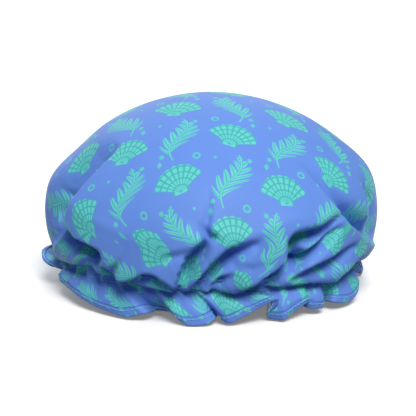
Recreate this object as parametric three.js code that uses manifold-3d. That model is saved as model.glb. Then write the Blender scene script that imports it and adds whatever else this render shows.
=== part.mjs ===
// A shower cap standing on its frill: a printed round of cloth and a waterproof lining, gathered by a
// loop of elastic that lies in a channel between them. Below the channel the cloth hangs as a bound frill.
// Units are millimetres, +Z is up and the front of the cap faces -Y.
import * as THREE from "three";
import { mergeVertices } from "three/addons/utils/BufferGeometryUtils.js";
import Module from "manifold-3d";

// Crown
const CROWN_DIAMETER = 240; // across the puffed lobes at their widest level
const CROWN_RISE = 85; // widest level up to the top
const CROWN_SAG = 31; // widest level down to the lowest point of a lobe
const CROWN_SQUARENESS = 1.85; // exponent of the crown's outline: 2 is an ellipse
const LOBE_TUCK = 140; // degrees that a lobe turns in under itself to reach the gathers
const VALLEY_DEPTH = 14; // how far the deepest fold draws the crown in

// Elastic and its channel
const ELASTIC_DIAMETER = 206; // outer face of the loop as it lies on display
const ELASTIC_WIDTH = 8;
const ELASTIC_THICKNESS = 1;
const ELASTIC_LAP = 24; // sewn overlap of the two ends
const STITCH_MARGIN = 1; // edge of the elastic to the stitch row beside it
const HEADER = 2; // cloth between the upper stitch row and the fold of the crown

// Frill
const FRILL_LENGTH = 24; // lower stitch row to the bound edge
const FRILL_WAVES = 16;
const PANEL_FLARE = 18; // degrees that the broad panels lean out
const RECESS_LEAN = 35; // degrees that the cloth between two panels leans in

// Cloth, binding and thread
const SHELL_THICKNESS = 0.7;
const LINING_THICKNESS = 0.5;
const BINDING_WIDTH = 7;
const BINDING_THICKNESS = 0.6;
const BINDING_STITCH = 2.6; // upper edge of the binding to its stitch row
const THREAD_DIAMETER = 0.5;
const TACK_STEPS = 6; // zigzag steps across the elastic
const TACK_REACH = 2; // width of the zigzag along the elastic
const CLEARANCE = 0.3; // between any two layers
const FLAT_DEPTH = 0.5; // how deep the standing edge is pressed flat

// Main folds of the crown. Angles are degrees from the front, positive to the right as seen from the front, at
// the gathers and at the top of the fold. Depth is a share of the deepest fold, and rise is how far the fold
// goes on above the widest level.
const FOLDS = [
  { foot: -76, top: -58, halfWidth: 11, depth: 1.0, rise: 52 }, // beside the long ridge at the left
  { foot: -50, top: -58, halfWidth: 10, depth: 0.9, rise: 6 }, // open pocket at the left
  { foot: -1, top: 4, halfWidth: 10, depth: 0.6, rise: 3 }, // step left of the middle
  { foot: 29, top: 38, halfWidth: 9, depth: 0.9, rise: 14 }, // hooked fold at the right
  { foot: 50, top: 58, halfWidth: 9, depth: 0.5, rise: 8 }, // swags at the right
  { foot: 74, top: 62, halfWidth: 10, depth: 0.6, rise: 30 }, // beside the long ridge at the right
  { foot: 136, top: 130, halfWidth: 9, depth: 0.5, rise: 4 },
  { foot: 155, top: 147, halfWidth: 9, depth: 0.5, rise: 34 },
  { foot: 179, top: 178, halfWidth: 10, depth: 0.4, rise: -6 },
  { foot: 194, top: 200, halfWidth: 9, depth: 0.5, rise: 4 },
  { foot: 211, top: 220, halfWidth: 10, depth: 0.8, rise: 8 },
  { foot: 248, top: 236, halfWidth: 10, depth: 0.7, rise: 42 },
];

// Worked out from the driving dimensions
const COLUMNS = 3 * FRILL_WAVES; // one recess and two panel edges to a wave
const CROWN_RADIUS = CROWN_DIAMETER / 2;
const CHANNEL_RADIUS = ELASTIC_DIAMETER / 2 + CLEARANCE;
const CHANNEL_HEIGHT = ELASTIC_WIDTH + 2 * STITCH_MARGIN;
const FOLD_HEIGHT = FRILL_LENGTH + CHANNEL_HEIGHT + HEADER;
const TUCK_ANGLE = THREE.MathUtils.degToRad(LOBE_TUCK);
const WIDEST_HEIGHT = FOLD_HEIGHT + CROWN_SAG * Math.sin(TUCK_ANGLE);
const LOBE_RADIUS = (CROWN_RADIUS - CHANNEL_RADIUS) / (1 - Math.cos(TUCK_ANGLE));
const FOLD_FADE = 0.5; // share of a fold's height at which it starts to run out
const FRONT_ANGLE = -Math.PI / 2;
const BACK_ANGLE = Math.PI / 2;

// Depths of the layers, measured inwards from the inner face of the shell
const LINING_DEPTH = CLEARANCE;
const CHANNEL_LINING_DEPTH = ELASTIC_THICKNESS + 2 * CLEARANCE;
const LAP_STEP = ELASTIC_THICKNESS + CLEARANCE;
const LAP_LINING_DEPTH = CHANNEL_LINING_DEPTH + LAP_STEP + THREAD_DIAMETER + CLEARANCE;

const wasm = await Module();
wasm.setup();

const smooth = THREE.MathUtils.smoothstep;
const radians = THREE.MathUtils.degToRad;

// Angle of a column about the axis. Column 0 is at the back, and the waves vary a little in width.
function columnAngle(column) {
  const turn = (2 * Math.PI * column) / COLUMNS;
  return BACK_ANGLE + turn + 0.05 * Math.sin(3 * turn) + 0.03 * Math.sin(5 * turn);
}

// How far the crown is drawn into a fold at an angle and height, from 0 on a lobe to 1
function foldShare(angle, height) {
  let share = 0;
  for (const { foot, top, halfWidth, depth, rise } of FOLDS) {
    const length = WIDEST_HEIGHT + rise - FOLD_HEIGHT;
    const level = THREE.MathUtils.clamp((height - FOLD_HEIGHT) / length, 0, 1);
    const offset = angle - FRONT_ANGLE - radians(THREE.MathUtils.lerp(foot, top, level));
    const distance = Math.abs(Math.atan2(Math.sin(offset), Math.cos(offset)));
    const reach = Math.min(1, distance / radians(halfWidth));
    const fade = 1 - smooth(level, FOLD_FADE, 1);
    share = Math.max(share, depth * fade * Math.cos((reach * Math.PI) / 2) ** 2);
  }
  return share;
}

// A point at a radius and height on the half plane of a column
function pointAt(column, radius, height) {
  const angle = columnAngle(column);
  return new THREE.Vector3(radius * Math.cos(angle), radius * Math.sin(angle), height);
}

// Upper crown, from the top (0) to the widest level (1)
function upperCrown(column, share) {
  const q = (share * Math.PI) / 2;
  const power = 2 / CROWN_SQUARENESS;
  const height = WIDEST_HEIGHT + CROWN_RISE * Math.max(0, Math.cos(q)) ** power;
  const drawnIn = VALLEY_DEPTH * foldShare(columnAngle(column), height);
  const radius = CROWN_RADIUS * Math.sin(q) ** power - drawnIn;
  return pointAt(column, radius, height);
}

// Lower crown, from the widest level (0) to the gathers above the channel (1): lobes hang over the gathers,
// and folds run straight to them
function lowerCrown(column, share) {
  const q = share * TUCK_ANGLE;
  const lobeRadius = CROWN_RADIUS - LOBE_RADIUS * (1 - Math.cos(q));
  const lobeHeight = WIDEST_HEIGHT - CROWN_SAG * Math.sin(q);
  const valleyRadius = THREE.MathUtils.lerp(CROWN_RADIUS - VALLEY_DEPTH, CHANNEL_RADIUS, share);
  const valleyHeight = THREE.MathUtils.lerp(WIDEST_HEIGHT, FOLD_HEIGHT, share);
  const valley = foldShare(columnAngle(column), valleyHeight);
  const radius = THREE.MathUtils.lerp(lobeRadius, valleyRadius, valley);
  return pointAt(column, radius, THREE.MathUtils.lerp(lobeHeight, valleyHeight, valley));
}

// The frill at a length below the lower stitch row: every third column is a recess
function frill(column, length) {
  const inRecess = column % 3 === 0;
  const depth = 1 + 0.15 * Math.sin((4 * Math.PI * column) / COLUMNS);
  const lean = inRecess ? -radians(RECESS_LEAN * depth) : radians(PANEL_FLARE);
  const radius = CHANNEL_RADIUS + length * Math.sin(lean);
  return pointAt(column, radius, FRILL_LENGTH - length * Math.cos(lean));
}

// The reference surface is the inner face of the shell. Its rows run from below the top to the hem.
const EDGE_LENGTH = FRILL_LENGTH - BINDING_THICKNESS - CLEARANCE;
const rowMakers = {
  crown1: (column) => upperCrown(column, 0.2),
  crown2: (column) => upperCrown(column, 0.4),
  crown3: (column) => upperCrown(column, 0.6),
  crown4: (column) => upperCrown(column, 0.8),
  shoulder: (column) => upperCrown(column, 0.9),
  widest: (column) => upperCrown(column, 1),
  lobeSide: (column) => lowerCrown(column, 0.36),
  lobeBottom: (column) => lowerCrown(column, 0.68),
  fold: (column) => lowerCrown(column, 1),
  channelTop: (column) => pointAt(column, CHANNEL_RADIUS, FRILL_LENGTH + CHANNEL_HEIGHT),
  channelBottom: (column) => pointAt(column, CHANNEL_RADIUS, FRILL_LENGTH),
  bindingTop: (column) => frill(column, FRILL_LENGTH - BINDING_WIDTH),
  edge: (column) => frill(column, EDGE_LENGTH),
  hem: (column) => frill(column, FRILL_LENGTH),
};
const ROW_NAMES = Object.keys(rowMakers);
const columns = Array.from({ length: COLUMNS }, (_, column) => column);
const surface = ROW_NAMES.map((name) => columns.map((column) => rowMakers[name](column)));
const row = (name) => ROW_NAMES.indexOf(name);

// Unit normal of the patch below a row and after a column
function patchNormal(rowIndex, column) {
  const next = (column + 1) % COLUMNS;
  const down = surface[rowIndex + 1][next].clone().sub(surface[rowIndex][column]);
  const up = surface[rowIndex][next].clone().sub(surface[rowIndex + 1][column]);
  return down.cross(up).normalize();
}

// Outward direction at each point, lengthened at corners so that layers keep their thickness there
const MITRE_LIMIT = 1.6;
const outward = surface.map((points, rowIndex) =>
  points.map((_, column) => {
    const before = (column + COLUMNS - 1) % COLUMNS;
    const patches = [];
    if (rowIndex > 0) patches.push(patchNormal(rowIndex - 1, before), patchNormal(rowIndex - 1, column));
    if (rowIndex < surface.length - 1) patches.push(patchNormal(rowIndex, before), patchNormal(rowIndex, column));
    const sum = new THREE.Vector3();
    patches.forEach((normal) => sum.add(normal));
    const mitre = Math.min(MITRE_LIMIT, patches.length / sum.length());
    return sum.normalize().multiplyScalar(mitre);
  })
);

// A point off the reference surface: positive distances lie outside the shell's inner face
function offsetPoint(rowName, column, distance) {
  const rowIndex = row(rowName);
  const wrapped = (column + COLUMNS) % COLUMNS;
  return surface[rowIndex][wrapped].clone().addScaledVector(outward[rowIndex][wrapped], distance);
}

function geometryFrom(points, triangles) {
  const geometry = new THREE.BufferGeometry().setFromPoints(points);
  geometry.setIndex(triangles.flat());
  return geometry;
}

// A closed body swept through sections with equal numbers of corners, listed so that the sides face out.
// Each patch is split from its upper corner to the lower corner of the next section, as the rounds are.
function sweep(sections, closed) {
  const corners = sections[0].length;
  const count = sections.length;
  const triangles = [];
  for (let s = 0; s < (closed ? count : count - 1); s += 1) {
    for (let c = 0; c < corners; c += 1) {
      const a = s * corners + c;
      const b = s * corners + ((c + 1) % corners);
      const d = ((s + 1) % count) * corners + c;
      const e = ((s + 1) % count) * corners + ((c + 1) % corners);
      if (sections[s][c].z >= sections[s][(c + 1) % corners].z) triangles.push([a, b, e], [a, e, d]);
      else triangles.push([a, b, d], [b, e, d]);
    }
  }
  if (!closed) {
    const last = (count - 1) * corners;
    for (let c = 1; c < corners - 1; c += 1) {
      triangles.push([0, c + 1, c], [last, last + c, last + c + 1]);
    }
  }
  return geometryFrom(sections.flat(), triangles);
}

// A round of cloth from the top to the edge, between two distances from the reference surface
function clothRound(outerDistance, innerDistance) {
  const names = ROW_NAMES.slice(0, row("edge") + 1);
  const top = new THREE.Vector3(0, 0, WIDEST_HEIGHT + CROWN_RISE);
  const points = [];
  for (const distance of [outerDistance, innerDistance]) {
    points.push(top.clone().setZ(top.z + distance("crown1", 0)));
    for (const name of names) {
      for (const column of columns) points.push(offsetPoint(name, column, distance(name, column)));
    }
  }
  const innerStart = points.length / 2;
  const at = (rowIndex, column) => 1 + rowIndex * COLUMNS + (column % COLUMNS);
  const triangles = [];
  const addBoth = (a, b, c) => {
    triangles.push([a, b, c], [innerStart + a, innerStart + c, innerStart + b]);
  };
  for (const column of columns) {
    addBoth(0, at(0, column), at(0, column + 1));
    for (let r = 0; r < names.length - 1; r += 1) {
      addBoth(at(r, column), at(r + 1, column), at(r + 1, column + 1));
      addBoth(at(r, column), at(r + 1, column + 1), at(r, column + 1));
    }
    const edge = at(names.length - 1, column);
    const next = at(names.length - 1, column + 1);
    triangles.push([edge, innerStart + edge, innerStart + next], [edge, innerStart + next, next]);
  }
  return geometryFrom(points, triangles);
}

const LAP_COLUMNS = Math.max(1, Math.round(ELASTIC_LAP / ((2 * Math.PI * CHANNEL_RADIUS) / COLUMNS)));
const inLap = (column) => column % COLUMNS <= LAP_COLUMNS;

// Depth of the lining's outer face below the shell: it makes room for the elastic in the channel
function liningDepth(rowName, column) {
  if (rowName !== "channelTop" && rowName !== "channelBottom") return LINING_DEPTH;
  return inLap(column) ? LAP_LINING_DEPTH : CHANNEL_LINING_DEPTH;
}

const shellGeometry = () => clothRound(() => SHELL_THICKNESS, () => 0);

const liningGeometry = () =>
  clothRound(
    (rowName, column) => -liningDepth(rowName, column),
    (rowName, column) => -liningDepth(rowName, column) - LINING_THICKNESS
  );

// The elastic goes once round and then laps inside its own start
function elasticGeometry() {
  const bottom = FRILL_LENGTH + STITCH_MARGIN;
  const top = bottom + ELASTIC_WIDTH;
  const sections = [];
  for (let column = 0; column <= COLUMNS + LAP_COLUMNS; column += 1) {
    const step = column >= COLUMNS ? LAP_STEP : 0;
    const outerRadius = CHANNEL_RADIUS - CLEARANCE - step;
    const innerRadius = outerRadius - ELASTIC_THICKNESS;
    sections.push([
      pointAt(column, outerRadius, bottom),
      pointAt(column, innerRadius, bottom),
      pointAt(column, innerRadius, top),
      pointAt(column, outerRadius, top),
    ]);
  }
  return sweep(sections, false);
}

// A zigzag of thread, flat on the inner face of the lapped end
function tackMesh(material) {
  const stepHeight = (ELASTIC_WIDTH - 2 * STITCH_MARGIN) / TACK_STEPS;
  const line = [];
  for (let step = 0; step <= TACK_STEPS; step += 1) {
    const side = step % 2 === 0 ? -1 : 1;
    line.push([(side * TACK_REACH) / 2, (step - TACK_STEPS / 2) * stepHeight]);
  }
  const half = ((THREAD_DIAMETER / 2) * Math.hypot(TACK_REACH, stepHeight)) / stepHeight;
  const shape = new THREE.Shape();
  shape.setFromPoints([
    ...line.map(([x, y]) => new THREE.Vector2(x + half, y)),
    ...line.reverse().map(([x, y]) => new THREE.Vector2(x - half, y)),
  ]);
  const geometry = new THREE.ExtrudeGeometry(shape, { depth: THREAD_DIAMETER, bevelEnabled: false });
  geometry.deleteAttribute("normal");
  geometry.deleteAttribute("uv");
  const mesh = namedMesh("elastic_tack", mergeVertices(geometry), material);
  const lapFace = CHANNEL_RADIUS - CLEARANCE - LAP_STEP - ELASTIC_THICKNESS;
  const first = pointAt(0, lapFace, 0);
  const second = pointAt(1, lapFace, 0);
  const middle = first.clone().add(second).multiplyScalar(0.5);
  const inwards = middle.clone().normalize().negate();
  mesh.position.copy(middle).addScaledVector(inwards, CLEARANCE);
  mesh.position.z = FRILL_LENGTH + CHANNEL_HEIGHT / 2;
  const along = new THREE.Vector3().crossVectors(new THREE.Vector3(0, 0, 1), inwards);
  mesh.setRotationFromMatrix(new THREE.Matrix4().makeBasis(along, new THREE.Vector3(0, 0, 1), inwards));
  return mesh;
}

// Thread of three sides along a closed path of points, each with its outward direction
function threadGeometry(path) {
  const radius = THREAD_DIAMETER / 2;
  const sections = path.map(({ point, direction }, index) => {
    const before = path[(index + path.length - 1) % path.length].point;
    const after = path[(index + 1) % path.length].point;
    const forward = after.clone().sub(before).normalize();
    const sideways = new THREE.Vector3().crossVectors(forward, direction).normalize();
    const up = new THREE.Vector3().crossVectors(sideways, forward).normalize();
    return [0, 1, 2].map((corner) => {
      const turn = (2 * Math.PI * corner) / 3;
      const centre = point.clone();
      centre.addScaledVector(up, radius * Math.cos(turn));
      return centre.addScaledVector(sideways, radius * Math.sin(turn));
    });
  });
  return sweep(sections, true);
}

// Stitch row inside the cap, along one edge of the channel
function channelStitchGeometry(rowName) {
  const path = columns.map((column) => {
    const depth = liningDepth(rowName, column) + LINING_THICKNESS + CLEARANCE + THREAD_DIAMETER / 2;
    return { point: offsetPoint(rowName, column, -depth), direction: outward[row(rowName)][column].clone() };
  });
  return threadGeometry(path);
}

// Binding: a strip folded over the edges of shell and lining
const BINDING_OUTER = SHELL_THICKNESS + CLEARANCE;
const BINDING_INNER = -(LINING_DEPTH + LINING_THICKNESS + CLEARANCE);

function bindingGeometry() {
  const outerFace = BINDING_OUTER + BINDING_THICKNESS;
  const innerFace = BINDING_INNER - BINDING_THICKNESS;
  const webShare = BINDING_THICKNESS / BINDING_WIDTH;
  const sections = columns.map((column) => {
    const corner = (distance, share) =>
      offsetPoint("hem", column, distance).lerp(offsetPoint("bindingTop", column, distance), share);
    return [
      corner(outerFace, 0),
      corner(innerFace, 0),
      corner(innerFace, 1),
      corner(BINDING_INNER, 1),
      corner(BINDING_INNER, webShare),
      corner(BINDING_OUTER, webShare),
      corner(BINDING_OUTER, 1),
      corner(outerFace, 1),
    ];
  });
  return sweep(sections, true);
}

// Stitch row on one face of the binding. Between two columns it bends where the face does.
function bindingStitchGeometry(face, side) {
  const share = BINDING_STITCH / BINDING_WIDTH;
  const lift = (CLEARANCE + THREAD_DIAMETER / 2) * side;
  const path = [];
  for (const column of columns) {
    const next = (column + 1) % COLUMNS;
    const topDirection = outward[row("bindingTop")];
    const here = topDirection[column].clone().lerp(outward[row("hem")][column], share);
    const across = topDirection[column].clone().lerp(outward[row("hem")][next], share);
    const top = offsetPoint("bindingTop", column, face);
    const onColumn = top.clone().lerp(offsetPoint("hem", column, face), share);
    const onBend = top.clone().lerp(offsetPoint("hem", next, face), share);
    path.push({ point: onColumn.addScaledVector(here, lift), direction: here });
    path.push({ point: onBend.addScaledVector(across.normalize(), lift), direction: across });
  }
  return threadGeometry(path);
}

function solidOf(geometry) {
  const plain = geometry.clone();
  plain.deleteAttribute("normal");
  plain.deleteAttribute("uv");
  const merged = mergeVertices(plain);
  const vertProperties = new Float32Array(merged.attributes.position.array);
  const triVerts = new Uint32Array(merged.index.array);
  return new wasm.Manifold(new wasm.Mesh({ numProp: 3, vertProperties, triVerts }));
}

function geometryOf(solid) {
  const mesh = solid.getMesh();
  const geometry = new THREE.BufferGeometry();
  geometry.setAttribute("position", new THREE.BufferAttribute(mesh.vertProperties, 3));
  geometry.setIndex(new THREE.BufferAttribute(mesh.triVerts, 1));
  return geometry;
}

// Presses the lowest part of a geometry flat and gives the height of that flat
function pressFlat(geometry) {
  geometry.computeBoundingBox();
  const flatHeight = geometry.boundingBox.min.z + FLAT_DEPTH;
  const reach = 2 * CROWN_DIAMETER;
  const slab = new THREE.BoxGeometry(reach, reach, reach);
  slab.translate(0, 0, flatHeight - reach / 2);
  return { geometry: geometryOf(solidOf(geometry).subtract(solidOf(slab))), flatHeight };
}

function namedMesh(name, geometry, material) {
  const mesh = new THREE.Mesh(geometry, material);
  mesh.name = name;
  return mesh;
}

const cloth = (color, roughness) => new THREE.MeshStandardMaterial({ color, roughness, metalness: 0 });
const printedCloth = cloth(0x749ee4, 0.6);
const bindingCloth = cloth(0x5f86cf, 0.6);
const liningCloth = cloth(0xe9e9f0, 0.5);
const elasticCloth = cloth(0xf2f2f0, 0.8);
const tealThread = cloth(0x8fd8dc, 0.6);
const whiteThread = cloth(0xf4f4f6, 0.6);

const hem = pressFlat(bindingGeometry());
const standing = new THREE.Group();
standing.add(
  namedMesh("outer_shell", shellGeometry(), printedCloth),
  namedMesh("lining", liningGeometry(), liningCloth),
  namedMesh("elastic_band", elasticGeometry(), elasticCloth),
  tackMesh(whiteThread.clone()),
  namedMesh("channel_stitch_upper", channelStitchGeometry("channelTop"), tealThread.clone()),
  namedMesh("channel_stitch_lower", channelStitchGeometry("channelBottom"), tealThread.clone()),
  namedMesh("edge_binding", hem.geometry, bindingCloth),
  namedMesh("binding_stitch_outer", bindingStitchGeometry(BINDING_OUTER + BINDING_THICKNESS, 1), tealThread),
  namedMesh("binding_stitch_inner", bindingStitchGeometry(BINDING_INNER - BINDING_THICKNESS, -1), whiteThread)
);

// The origin is on the standing plane, under the middle of the cap's outline
const outline = new THREE.Box3().setFromObject(standing);
const centre = outline.getCenter(new THREE.Vector3());
standing.position.set(-centre.x, -centre.y, -hem.flatHeight);

const cap = new THREE.Group();
cap.name = "shower_cap";
cap.add(standing);

export default cap;
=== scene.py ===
"""Looks of a lined shower cap: settled cloth, binding, stitches, print, studio light and camera.

The cloth is worked out in millimetres on a round grid and handed to Blender in metres.
Rows of the grid follow the cloth from the top of the crown to the edge of the frill, and columns go round it.
"""

import math
from functools import partialmethod

import bpy
import numpy as np
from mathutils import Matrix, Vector
from mathutils.bvhtree import BVHTree


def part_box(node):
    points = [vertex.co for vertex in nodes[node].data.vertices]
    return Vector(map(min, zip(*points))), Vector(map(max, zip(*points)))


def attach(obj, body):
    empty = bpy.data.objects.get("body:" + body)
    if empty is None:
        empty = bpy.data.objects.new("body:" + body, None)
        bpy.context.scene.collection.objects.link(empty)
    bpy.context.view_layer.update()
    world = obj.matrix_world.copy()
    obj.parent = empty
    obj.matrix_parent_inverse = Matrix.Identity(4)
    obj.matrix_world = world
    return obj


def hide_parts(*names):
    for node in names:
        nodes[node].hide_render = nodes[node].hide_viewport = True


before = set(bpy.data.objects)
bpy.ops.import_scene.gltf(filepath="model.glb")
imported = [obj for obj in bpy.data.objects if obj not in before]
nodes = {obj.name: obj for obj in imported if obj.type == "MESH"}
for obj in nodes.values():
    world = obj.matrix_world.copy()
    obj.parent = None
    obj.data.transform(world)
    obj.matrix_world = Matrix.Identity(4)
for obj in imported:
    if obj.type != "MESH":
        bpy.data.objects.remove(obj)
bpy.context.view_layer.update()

METRE = 0.001
FULL_TURN = 2 * np.pi
TINY = 1e-9


def box_mm(node):
    """Lowest and highest corner of a solid of the frame, in millimetres."""
    low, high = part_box(node)
    return np.array(low) / METRE, np.array(high) / METRE


# Sizes taken from the frame
shell_low, shell_high = box_mm("outer_shell")
elastic_low, elastic_high = box_mm("elastic_band")
upper_low, upper_high = box_mm("channel_stitch_upper")
lower_low, lower_high = box_mm("channel_stitch_lower")
CROWN_RADIUS = (shell_high[0] - shell_low[0]) / 2
CROWN_TOP = shell_high[2]
ELASTIC_RADIUS = (elastic_high[0] - elastic_low[0]) / 2
CHANNEL_TOP = (upper_low[2] + upper_high[2]) / 2
CHANNEL_BOTTOM = (lower_low[2] + lower_high[2]) / 2

# Sizes of the cloth in millimetres, with how square its profile is and how far its lobes turn in
CROWN_RISE = 85.0
CROWN_SAG = 31.0
SQUARENESS = 1.85
LOBE_TUCK = math.radians(140)
FRILL = 24.0
FRILL_FLARE = 4.0
SHELL_THICKNESS = 0.3
LINING_THICKNESS = 0.2
LAYER_GAP = 0.2
ELASTIC_GAP = 0.7
PLEAT = 1.8
BINDING_WIDTH = 7.0
BINDING_THICKNESS = 0.35
BINDING_GAP = 0.1
STITCH_DROP = 2.6
THREAD = 0.42
STITCH_LENGTH = 2.7
STITCH_PITCH = 3.1
WIDEST = CROWN_TOP - CROWN_RISE
CHANNEL_RADIUS = ELASTIC_RADIUS + ELASTIC_GAP + SHELL_THICKNESS / 2

# Camera of the photograph
IMAGE_SIDE = 416
ELEVATION = math.radians(13)
DISTANCE = 1400.0
PIXEL = 0.727
AIM = np.array([-2.2, 0.0, 56.3])
SENSOR = 36.0
FOCAL_PIXELS = DISTANCE / PIXEL
VIEW = np.array([0.0, math.cos(ELEVATION), -math.sin(ELEVATION)])
VIEW_UP = np.array([0.0, math.sin(ELEVATION), math.cos(ELEVATION)])

# Grid of the cloth
ROWS = 144
COLUMNS = 640
FIRST_ROW = 12.0
PROFILE_STEPS = 200
SEED = 3
random = np.random.default_rng(SEED)


def run_length(points):
    """Length of a line from its start to each of its points."""
    return np.concatenate([[0], np.cumsum(np.linalg.norm(np.diff(points, axis=0), axis=1))])


def read_off(at, length, points):
    """Places on a line at lengths along it."""
    return np.stack([np.interp(at, length, points[:, k]) for k in range(3)], -1)


def crown_profile():
    """Arc lengths, radii and heights from the top of the crown to the edge, and arc lengths of its marks."""
    power = 2 / SQUARENESS
    turn = np.linspace(0, np.pi / 2, PROFILE_STEPS)
    upper_radius = CROWN_RADIUS * np.sin(turn) ** power
    upper_height = WIDEST + CROWN_RISE * np.cos(turn).clip(0) ** power
    upper = np.stack([upper_radius, upper_height], 1)
    turn = np.linspace(0, LOBE_TUCK, PROFILE_STEPS // 2)[1:]
    lobe = (CROWN_RADIUS - CHANNEL_RADIUS) / (1 - math.cos(LOBE_TUCK))
    lower = np.stack([CROWN_RADIUS - lobe * (1 - np.cos(turn)), WIDEST - CROWN_SAG * np.sin(turn)], 1)
    channel = np.array([[CHANNEL_RADIUS, CHANNEL_TOP], [CHANNEL_RADIUS, CHANNEL_BOTTOM]])
    frill = np.array([[CHANNEL_RADIUS + FRILL_FLARE, CHANNEL_BOTTOM - FRILL]])
    points = np.concatenate([upper, lower, channel, frill])
    arc = run_length(points)
    marks = arc[len(upper) - 1], arc[-3], arc[-2], arc[-2] + FRILL
    return arc, points[:, 0], points[:, 1], marks


profile_arc, profile_radius, profile_height, marks = crown_profile()
WIDEST_ARC, CHANNEL_START, CHANNEL_END, EDGE_ARC = marks
arc = np.linspace(FIRST_ROW, EDGE_ARC, ROWS)
row_step = arc[1] - arc[0]
turn = np.linspace(0, FULL_TURN, COLUMNS, endpoint=False)
radius = np.interp(arc, profile_arc, profile_radius)
height = np.interp(arc, profile_arc, profile_height)
FRONT = -np.pi / 2


def along_rows(places, values):
    """A value for each row, read off between arc lengths."""
    return np.interp(arc, places, values)


def from_front(angle, half_width):
    """How far each column lies from an angle to the front, in half widths. Both are in degrees."""
    return np.angle(np.exp(1j * (turn - FRONT - math.radians(angle)))) / math.radians(half_width)


def round_places(out, angle, level):
    """Points at a radius, an angle and a height."""
    return np.stack(np.broadcast_arrays(out * np.cos(angle), out * np.sin(angle), level), -1)


def from_axis(points):
    """Distance of points from the upright axis of the cap."""
    return np.hypot(points[..., 0], points[..., 1])


def unit(vectors):
    """Vectors with a length of 1."""
    return vectors / (np.linalg.norm(vectors, axis=-1, keepdims=True) + TINY)


def surface_normals(points):
    """Outward normals of a round grid."""
    across = np.roll(points, -1, axis=1) - np.roll(points, 1, axis=1)
    return unit(np.cross(np.gradient(points, axis=0), across))


def to_pixels(points):
    """Where points of the model fall in the photograph."""
    offset = points - AIM
    depth = DISTANCE + offset @ VIEW
    middle = IMAGE_SIDE / 2
    return middle + FOCAL_PIXELS * offset[..., 0] / depth, middle - FOCAL_PIXELS * (offset @ VIEW_UP) / depth


# Places where the crown stands out or lies flatter than a turned one: angle from the front and height of the
# middle, half of its width in degrees and in mm, and how far it stands out in mm.
# They end a little below the widest place
BULGES = {
    "right_shoulder": (96, 84, 45, 15, 3.4),
    "left_slope": (-95, 102, 40, 14, -2.0),
    "left_shoulder": (-92, 78, 35, 12, 1.8),
}
BULGE_END = 10.0


def bulge_out():
    """How far the bulges move each place of the crown outwards."""
    out = np.zeros((ROWS, COLUMNS))
    for angle, level, half_width, half_height, size in BULGES.values():
        above = (height - level) / half_height
        out += size * np.exp(-(above[:, None] ** 2) - from_front(angle, half_width) ** 2)
    return out * (arc < WIDEST_ARC + BULGE_END)[:, None]


# The crown before its folds
base = round_places(radius[:, None], turn, height[:, None])
base += surface_normals(base) * bulge_out()[..., None]
base_normal = surface_normals(base)

# Tucks, where one part of the cloth laps over the next. Each is drawn with pixels of the photograph along its
# lip, the deeper part lying to the right of the way along it, and with the share of its full size at each
# place. Then come, in mm, how far the lip stands out and how wide it is, and how deep and how wide the part
# under it is.
FRONT_TUCKS = {
    "left_ridge": (
        [(122, 147, 0), (104, 163, 0.4), (86, 182, 0.7), (72, 199, 1), (64, 218, 1), (58, 234, 0.6)],
        5, 16, 22, 18,
    ),
    "pocket_lip": (
        [(64, 219, 0.3), (75, 236, 0.9), (87, 243, 1), (98, 249, 1), (101, 259, 1), (99, 268, 0.4)],
        6, 16, 26, 12,
    ),
    "hook": ([(124, 259, 0.2), (119, 267, 0.9), (117, 273, 1), (118, 280, 0.5)], 3, 6, 8, 5),
    "lobe_edge": (
        [
            (100, 266, 0.2), (110, 271, 0.6), (119, 281, 0.9), (130, 279, 1), (143, 272, 1), (152, 272, 0.9),
            (161, 277, 0.9), (170, 281, 0.9), (177, 284, 0.5),
        ],
        5, 12, 10, 6,
    ),
    "belly_fold": ([(148, 262, 0), (168, 251, 0.8), (184, 246, 1), (198, 241, 0.5)], 2, 8, 6, 8),
    "left_step": (
        [(174, 284, 0.6), (179, 269, 1), (185, 255, 1), (197, 243, 0.8), (206, 236, 0.2)],
        6, 12, 16, 11,
    ),
    "centre_crease": ([(213, 186, 0), (213, 204, 0.3), (212, 218, 0.6), (210, 232, 0.9)], 1, 8, 4, 8),
    "dimple": ([(206, 226, 0.3), (212, 230, 1), (220, 236, 0.3)], 2, 6, 8, 6),
    "middle_fold": (
        [(184, 291, 0.5), (198, 278, 1), (212, 261, 1), (228, 247, 1), (250, 240, 0.4)],
        5, 10, 14, 11,
    ),
    "gather_fold": ([(206, 296, 0.5), (210, 284, 1), (220, 276, 0.8), (232, 272, 0.2)], 4, 7, 9, 7),
    "right_lip": ([(236, 291, 0.4), (256, 281, 1), (274, 268, 1), (287, 257, 1)], 6, 14, 16, 9),
    "right_hook": (
        [
            (286, 258, 0.8), (288, 248, 1), (289, 237, 1), (295, 230, 1), (308, 227, 0.9), (322, 223, 0.7),
            (336, 212, 0.2),
        ],
        6, 14, 22, 9,
    ),
    "facet_fold": ([(232, 262, 0), (252, 262, 0.6), (272, 256, 0.4)], 2, 8, 5, 8),
    "upper_swag": ([(292, 260, 0.6), (304, 250, 1), (318, 240, 1), (334, 226, 0.5)], 4, 7, 12, 7),
    "lower_swag": ([(298, 274, 0.5), (314, 264, 1), (332, 255, 1), (348, 243, 0.5)], 4, 7, 12, 7),
    "low_right": ([(312, 291, 0.4), (330, 280, 1), (346, 268, 0.9), (360, 254, 0.3)], 4, 8, 12, 7),
    "right_ridge": (
        [(374, 241, 0.6), (362, 232, 1), (350, 222, 1), (336, 206, 0.7), (322, 188, 0.4), (300, 165, 0)],
        4, 14, 14, 9,
    ),
    "far_right": ([(373, 232, 0.3), (369, 215, 1), (366, 199, 1), (361, 183, 0.2)], 2, 8, 10, 6),
}
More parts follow.
